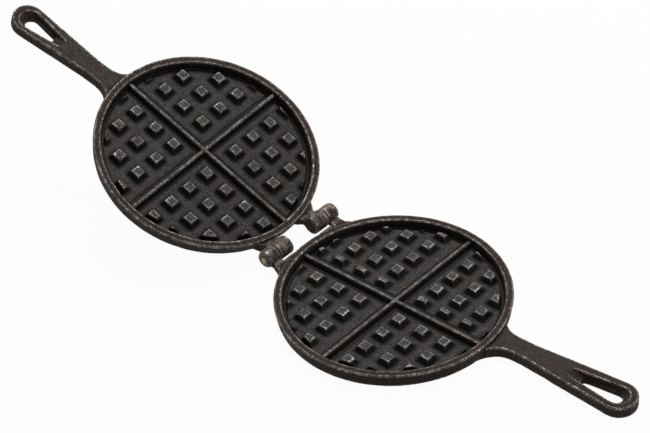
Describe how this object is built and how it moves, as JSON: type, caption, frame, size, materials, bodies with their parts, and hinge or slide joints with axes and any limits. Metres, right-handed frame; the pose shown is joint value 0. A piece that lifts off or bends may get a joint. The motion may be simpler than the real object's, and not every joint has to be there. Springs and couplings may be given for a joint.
{
  "type": "stovetop waffle iron",
  "caption": "Hinged cast-iron stovetop waffle iron: round pans with cross ribs, waffle bumps and long handles with a hanging hole.",
  "frame": {"origin": "under the middle of the lower pan, on the surface that its flat underside lies on", "axes": "+X from the hinge through the lower pan towards its handle, +Z out of the lower pan's cooking face, +Y along the hinge line"},
  "size_m": [0.593, 0.184, 0.1263],
  "materials": {
    "iron": "seasoned sand-cast iron, nearly black with worn lighter edges",
    "pin": "dull, aged"
  },
  "bodies": {
    "lower": {"lower_plate": "iron", "hinge_pin_near": "pin", "hinge_pin_far": "pin"},
    "upper": {"upper_plate": "iron"}
  },
  "joints": [
    {"name": "hinge", "type": "hinge", "parent": "lower", "child": "upper", "pos_m": [-0.102, 0.003, 0.0137], "axis": [0, 1, 0], "range_deg": [-22.9, 157.1]}
  ]
}
